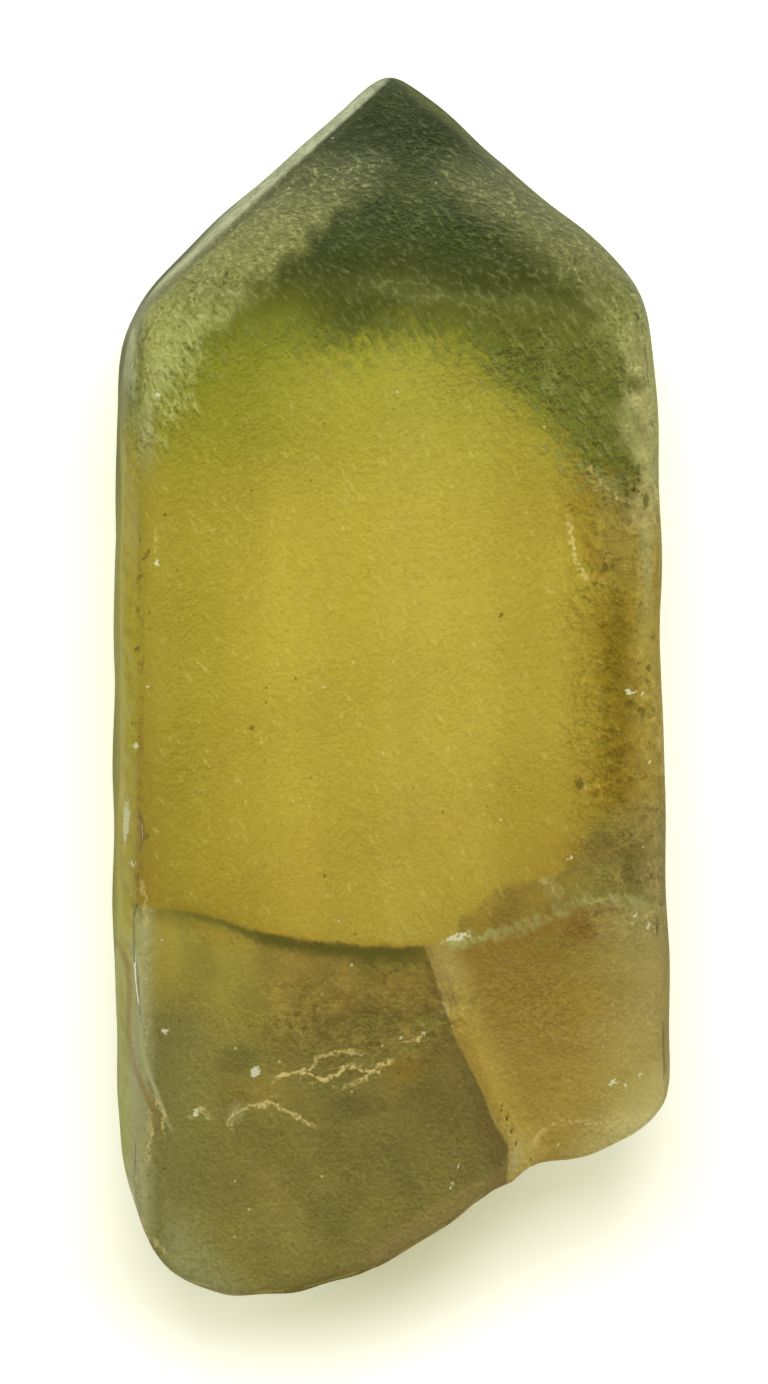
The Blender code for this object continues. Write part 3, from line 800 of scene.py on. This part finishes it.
def skin_fields(p, wear, outline, under, side, frost_and_light):
    """The single values that the material reads, by name."""
    x, y, _ = p.T
    # Round the sides, the borders of the colours drift and soften
    drift = 2.4 * (clouds(p * (0.3, 0.3, 1), 6.0, 81) - 0.5) * side
    patchy = 0.5 + clouds(p, 0.8, 71)
    left = fade(x, 0.3, -0.4)
    tip = fade(y - DARK_EDGE(x), -1.6, 0.4)
    low = fade(y, -4.6, -5.4)
    brown = fade(x, 2.9, 4.1) * (1 - low)
    low_dark = low * fade(np.hypot((x + 0.5) / 2.2, (y + 6.6) / 1.1), 1.2, 0.7)
    below = ledge_y(x) - y - drift
    lumpy = 1.1 * brown * fade(y, 5.0, 4.2) + 0.75 * tip * fade(x, 0.5, 2.5) + 1.2 * low_dark
    # Where the dark pits and the painted glint specks gather
    pits = fade(outline, 0.6, 0.2) * (x < 0) + brown * fade(x, 3.9, 4.6)
    # Where the left gable's worn rim with its painted highlight, and its dark line, lie
    rim = left * fade(y, 5.2, 7.2) * fade(under, 3.0, 0.2)
    return {
        "rough": 0.33 + 0.2 * wear + 0.4 * fade(outline, 0.3, 0.06),
        "outline": outline,
        "ledge": below * (1 - 0.94 * side),
        "crack": below * value_at(x, CRACK_THINNESS) - 0.2,
        "ridge": (x - RIDGE(y) + 0.5 * drift) * (1 - 0.9 * side),
        "facet": x - FACET(y),
        "dark_edge": (y - DARK_EDGE(x) + drift) * (1 - 0.6 * side),
        "rim": rim * (0.65 + 0.5 * clouds(p, 0.5, 72)),
        "crack_dark_and_shade": value_at(x, CRACK_DARK_AND_SHADE),
        "crack_pale": value_at(x, CRACK_PALE),
        "low_edge": fade(y, -4.7, -5.4) * fade(y, -9.2, -8.4) * fade(x, -3.8, -4.4),
        "frost_and_light": 0.05 + tip * (0.09 + 0.5 * frost_and_light + 0.08 * fade(x, 1.0, 2.5)),
        "drawn": 0.2 + tip * (0.4 + 1.0 * frost_and_light),
        "glinting": (1 - 0.85 * tip) * (1 - 0.85 * low) * (1 - 0.4 * brown),
        "contrast": patchy * (0.36 + tip * (0.36 + 0.75 * frost_and_light) + 0.6 * brown + 0.25 * low),
        "lumpy": lumpy * patchy,
        "rusty": left * fade(y, 3.6, 2.6) * fade(y, -5.0, -4.6) * fade(under, 1.6, 0.9),
        "pits": pits + 0.4 * low + 0.5 * tip * frost_and_light,
    }


def store(thing, name, values, kind="FLOAT", key="value"):
    """Stores a value, a triple or a colour for each point, for the material to read."""
    data = thing.data.attributes.new(name, kind, "POINT").data
    data.foreach_set(key, np.asarray(values, np.float32).ravel())


def paint(thing, points):
    """Stores all that the stone's material reads."""
    wear, to_edge, outline, under = edge_fields(points)
    frost_and_light = frost_and_light_fields(points, to_edge)
    side = fade(under, *SIDE_DEPTHS)
    for name, values in skin_fields(points, wear, outline, under, side, frost_and_light).items():
        store(thing, name, values)
    white, dark = spot_field(points, WHITE_CHIPS_AND_GLINTS), spot_field(points, DARK_SPOTS)
    spots = np.column_stack([white, dark, np.zeros(len(points))])
    offsets, line_share = line_fields(points)
    store(thing, "spots", spots, "FLOAT_VECTOR", "vector")
    store(thing, "lines", offsets, "FLOAT_VECTOR", "vector")
    store(thing, "line_share", line_share)
    tones = {
        "body": body_colours(points, outline, under, side),
        "tip": tip_colours(points, frost_and_light, outline),
        "low_left": low_left_colours(points, outline, under),
        "low_right": low_right_colours(points),
    }
    for name, colours in tones.items():
        colours = np.clip(paint_marks(points, colours), 0, 1)
        colours = np.column_stack([colours, np.ones(len(points))])
        store(thing, name, colours, "FLOAT_COLOR", "color")


# The places of the Mix node's colour sockets.
MIX_FIRST = 6
MIX_SECOND = 7
MIX_RESULT = 2


class Nodes:
    """Short ways to add nodes to one material."""

    def __init__(self, material):
        material.use_nodes = True
        self.tree = material.node_tree
        self.shader = self.tree.nodes["Principled BSDF"]
        self.output = self.tree.nodes["Material Output"]

    def add(self, kind, inputs=(), **settings):
        node = self.tree.nodes.new("ShaderNode" + kind)
        for name, value in settings.items():
            setattr(node, name, value)
        for socket, value in dict(inputs).items():
            self.put(value, node.inputs[socket])
        return node

    def put(self, value, socket):
        if isinstance(value, bpy.types.NodeSocket):
            self.tree.links.new(value, socket)
        elif socket.type == "RGBA":
            socket.default_value = (*value, 1.0)[:4]
        else:
            socket.default_value = value

    def math(self, operation, *values):
        return self.add("Math", enumerate(values), operation=operation).outputs[0]

    def times(self, value, *others):
        """The product of all the values."""
        for other in others:
            value = self.math("MULTIPLY", value, other)
        return value

    def step(self, value, low, high, to_low=0.0, to_high=1.0):
        """Goes smoothly from to_low to to_high as value goes from low to high."""
        node = self.add("MapRange", interpolation_type="SMOOTHSTEP")
        for socket, v in zip(node.inputs, (value, low, high, to_low, to_high)):
            self.put(v, socket)
        return node.outputs[0]

    def mix(self, share, first, second):
        """Goes from the first colour to the second."""
        inputs = {0: share, MIX_FIRST: first, MIX_SECOND: second}
        return self.add("Mix", inputs, data_type="RGBA").outputs[MIX_RESULT]

    def read(self, name, output="Fac"):
        """What the mesh stores under this name."""
        return self.add("Attribute", attribute_name=name).outputs[output]

    def noise(self, vector, scale, detail, roughness):
        inputs = {"Vector": vector, "Scale": scale, "Detail": detail, "Roughness": roughness}
        return self.add("TexNoise", inputs).outputs["Fac"]


def skin_noises(n):
    """The place in millimetres, and three noises: slanting streaks, grain and peel."""
    place = n.add("TexCoord").outputs["Object"]
    mm = n.add("VectorMath", {0: place, 1: (1 / MM,) * 3}, operation="MULTIPLY").outputs[0]
    slant = n.add("Mapping", {"Vector": mm, "Rotation": (0, 0, STREAK_SLANT)}).outputs[0]
    drawn = n.add("VectorMath", {0: slant, 1: (1, STREAK_SHARE, 1)}, operation="MULTIPLY").outputs[0]
    return mm, n.noise(drawn, *STREAKS), n.noise(mm, *GRAIN), n.noise(mm, *PEEL)


def stone_colour(n, streaks, peel):
    """The body, the dark tip with its ragged lower border, and the break with its ridge."""
    ragged = n.math("MULTIPLY_ADD", streaks, 2.2, n.math("ADD", peel, n.read("dark_edge")))
    colour = n.mix(n.step(ragged, 0.9, 2.2), n.read("body", "Color"), n.read("tip", "Color"))
    left, right = n.read("low_left", "Color"), n.read("low_right", "Color")
    low = n.mix(n.step(n.read("ridge"), -0.04, 0.04), left, right)
    return n.mix(n.step(n.read("ledge"), -0.05, 0.05), colour, low)


def skin_texture(n, colour, streaks, grain, peel, lumpy):
    """Frost, partly painted light from the upper left, and painted glints in pale streaks, and a mottle in
    every colour.
    """
    colour = n.mix(n.times(n.step(streaks, 0.5, 0.7), n.read("frost_and_light")), colour, FROST_AND_LIGHT)
    glints = n.times(n.step(streaks, 0.6, 0.7), n.step(peel, 0.42, 0.6, 0.0, 0.3), n.read("glinting"))
    colour = n.mix(glints, colour, GLINT)
    mottle = 1.0
    for noise, strength in ((streaks, n.read("drawn")), (grain, n.read("contrast")), (peel, lumpy)):
        mottle = n.math("MULTIPLY_ADD", n.math("SUBTRACT", noise, 0.5), strength, mottle)
    return n.add("VectorMath", {0: colour, "Scale": mottle}, operation="SCALE").outputs[0]


def gable_rim(n, colour, outline, streaks):
    """A bright left gable rim: worn frosted skin with a painted highlight from the upper left, and a dark
    line inside.
    """
    rim = n.read("rim")
    line = n.times(n.step(outline, 0.24, 0.3), n.step(outline, 0.4, 0.32, 0.0, 0.6), rim)
    # The worn rim lightened with a painted highlight, as if lit from the upper left
    worn = n.times(n.step(outline, 0.25, 0.17), n.step(streaks, 0.3, 0.55, 0.55, 1.0), rim)
    return n.mix(worn, n.mix(line, colour, RIM_SHADE), WORN_RIM_HIGHLIGHT)


def ledge_crack(n, colour, streaks, peel):
    """The crack along the ledge: a dark line with painted shade under the step on the left, whitish on the
    right.
    """
    crack = n.math("MULTIPLY_ADD", n.math("ADD", peel, streaks), 0.2, n.read("crack"))
    # The dark line, with painted shade under the ledge's step
    dark = n.times(n.step(crack, -0.05, 0.05), n.step(crack, 0.36, 0.12), n.read("crack_dark_and_shade"))
    colour = n.mix(dark, colour, CRACK_LINE_AND_SHADE)
    crack = n.math("MULTIPLY_ADD", peel, 0.3, n.read("crack"))
    pale = n.times(n.step(crack, -0.16, -0.06), n.step(crack, 0.1, 0.0))
    pale = n.times(pale, n.step(streaks, 0.35, 0.6, 0.25, 1.0), n.read("crack_pale"))
    return n.mix(pale, colour, PALE_CRACK)


def left_edge_lines(n, colour, outline, streaks):
    """The facet down the lower left edge, and a broken rusty line down the worn edge above it."""
    facet, low_edge = n.read("facet"), n.read("low_edge")
    white = n.times(n.step(facet, -0.07, 0.0), n.step(facet, 0.08, 0.0, 0.0, 0.75), low_edge)
    colour = n.mix(white, colour, FACET_WHITE)
    rust = n.times(n.step(facet, -0.32, -0.24), n.step(facet, -0.14, -0.22, 0.0, 0.6), low_edge)
    colour = n.mix(rust, colour, FACET_RUST)
    rusty = n.times(n.step(outline, 0.26, 0.33), n.step(outline, 0.46, 0.39))
    rusty = n.times(rusty, n.step(streaks, 0.46, 0.62, 0.0, 0.6), n.read("rusty"))
    return n.mix(rusty, colour, EDGE_RUST)


def fine_lines(n, colour, grain, peel):
    """Fine cracks and rims that glint."""
    wobble = n.math("MULTIPLY_ADD", peel, 0.3, -0.15)
    off = n.add("VectorMath", {0: n.read("lines", "Vector"), 1: wobble}, operation="ADD").outputs[0]
    off = n.add("VectorMath", {0: off}, operation="ABSOLUTE").outputs[0]
    off = n.add("SeparateXYZ", {0: off}).outputs
    off = n.math("MINIMUM", off[0], n.math("MINIMUM", off[1], off[2]))
    glint = n.times(n.step(off, 0.055, 0.02), n.step(grain, 0.34, 0.56, 0.15, 1.0), n.read("line_share"))
    return n.mix(glint, colour, LINE_GLINT)


def chips_glints_and_pits(n, colour, grain):
    """White chips and painted glints, and pits, with crumbled borders: the colour, and how deep the pits
    are.
    """
    chips = n.add("SeparateXYZ", {0: n.read("spots", "Vector")}).outputs
    crumbled = n.math("MULTIPLY_ADD", grain, 0.6, -0.3)
    pit = n.step(n.math("ADD", chips[1], crumbled), 0.4, 0.58, 0.0, 0.75)
    chip_and_glint = n.step(n.math("ADD", chips[0], crumbled), 0.42, 0.56, 0.0, 0.92)
    return n.mix(chip_and_glint, n.mix(pit, colour, PIT), CHIP_AND_GLINT), pit


def specks(n, colour, mm):
    """Painted glints as pale specks, and tiny dark pits, strewn all over, closest where the skin is most
    worn.
    """
    cell = n.add("TexVoronoi", {"Vector": mm, "Scale": 3.4})
    lot = n.add("SeparateColor", {0: cell.outputs["Color"]}).outputs[0]
    speck = n.step(cell.outputs["Distance"], 0.13, 0.07, 0.0, 0.75)
    pits = n.read("pits")
    lot_glint, lot_dark = n.math("MULTIPLY_ADD", pits, 0.25, lot), n.math("MULTIPLY_ADD", pits, -0.25, lot)
    colour = n.mix(n.times(speck, n.step(lot_glint, 0.93, 0.95)), colour, GLINT_SPECK)
    return n.mix(n.times(speck, n.step(lot_dark, 0.1, 0.08)), colour, DARK_SPECK)


def zircon():
    """The stone's material: a worn see-through skin, and a body that takes up blue light."""
    material = bpy.data.materials.new("zircon")
    n = Nodes(material)
    mm, streaks, grain, peel = skin_noises(n)
    lumpy, outline = n.read("lumpy"), n.read("outline")
    colour = stone_colour(n, streaks, peel)
    colour = skin_texture(n, colour, streaks, grain, peel, lumpy)
    colour = gable_rim(n, colour, outline, streaks)
    colour = ledge_crack(n, colour, streaks, peel)
    colour = left_edge_lines(n, colour, outline, streaks)
    colour = fine_lines(n, colour, grain, peel)
    colour, pit = chips_glints_and_pits(n, colour, grain)
    colour = specks(n, colour, mm)
    n.put(colour, n.shader.inputs["Base Color"])
    n.put(n.math("MULTIPLY_ADD", peel, 0.16, n.read("rough")), n.shader.inputs["Roughness"])
    n.shader.inputs["IOR"].default_value = IOR
    n.shader.inputs["Transmission Weight"].default_value = TRANSMISSION
    n.shader.inputs["Specular IOR Level"].default_value = SHINE
    n.shader.inputs["Specular Tint"].default_value = SHINE_TINT

    # The relief of the skin: peel, grain, pits and streaks
    relief = n.math("MULTIPLY_ADD", lumpy, 1.2, 0.5)
    height = n.math("MULTIPLY_ADD", peel, relief, n.times(grain, 0.4))
    height = n.math("MULTIPLY_ADD", pit, -1.0, height)
    height = n.math("MULTIPLY_ADD", streaks, n.read("drawn"), height)
    bump = n.add("Bump", {"Strength": RELIEF_STRENGTH, "Distance": RELIEF, "Height": height})
    n.put(bump.outputs[0], n.shader.inputs["Normal"])
    volume = n.add("VolumeAbsorption", {"Color": BODY_COLOUR, "Density": BODY_DENSITY})
    n.put(volume.outputs["Volume"], n.output.inputs["Volume"])
    return material


def make_floor():
    """The pale floor."""
    bpy.ops.mesh.primitive_plane_add(size=FLOOR_SIDE)
    floor = bpy.context.object
    floor.name = "floor"
    paper = bpy.data.materials.new("paper")
    paper.use_nodes = True
    shader = paper.node_tree.nodes["Principled BSDF"]
    shader.inputs["Base Color"].default_value = FLOOR_TONE
    shader.inputs["Roughness"].default_value = 1.0
    shader.inputs["Specular IOR Level"].default_value = 0.0
    shader.inputs["Emission Color"].default_value = FLOOR_GLOW
    shader.inputs["Emission Strength"].default_value = GLOW_STRENGTH
    floor.data.materials.append(paper)
    return floor


def light_room():
    """Dim white surroundings and the lamps."""
    world = bpy.data.worlds.new("studio")
    bpy.context.scene.world = world
    world.use_nodes = True
    background = world.node_tree.nodes["Background"]
    background.inputs["Color"].default_value = (1, 1, 1, 1)
    background.inputs["Strength"].default_value = ROOM_STRENGTH
    for name, (place, side, power) in LAMPS.items():
        data = bpy.data.lights.new(name, "AREA")
        data.shape = "SQUARE"
        data.size = side
        data.energy = power
        lamp = bpy.data.objects.new(name, data)
        lamp.location = place
        lamp.rotation_euler = (Vector(LAMP_TARGET) - Vector(place)).to_track_quat("-Z", "Y").to_euler()
        bpy.context.scene.collection.objects.link(lamp)


def place_camera():
    """The camera at the photograph's viewing angle."""
    data = bpy.data.cameras.new("camera")
    data.sensor_width = SENSOR
    data.lens = SENSOR * DISTANCE / (PHOTO_HEIGHT / PIXELS_PER_MM)
    data.clip_start = CLIP_NEAR
    data.clip_end = CLIP_FAR
    camera = bpy.data.objects.new("camera", data)
    bpy.context.scene.collection.objects.link(camera)
    reach = (-DISTANCE * math.sin(LEAN), 0, DISTANCE * math.cos(LEAN))
    camera.location = [(a + b) * MM for a, b in zip(SIGHT, reach)]
    camera.rotation_euler = (0, -LEAN, 0)
    bpy.context.scene.camera = camera


def set_light_paths():
    """How colours are shown, and how far light is followed."""
    bpy.context.scene.view_settings.view_transform = "Standard"
    cycles = bpy.context.scene.cycles
    cycles.adaptive_threshold = 0.03
    cycles.max_bounces = cycles.transmission_bounces = 6
    cycles.diffuse_bounces = cycles.glossy_bounces = 3


cube_points, quads = lattice(SLICES)
points = on_surface(block_to_stone(cube_points))
crystal = make_mesh("zircon_crystal", points * MM, quads)
paint(crystal, points)
crystal.data.materials.append(zircon())
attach(crystal, "root")
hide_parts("crystal")
floor = make_floor()
light_room()
place_camera()
set_light_paths()
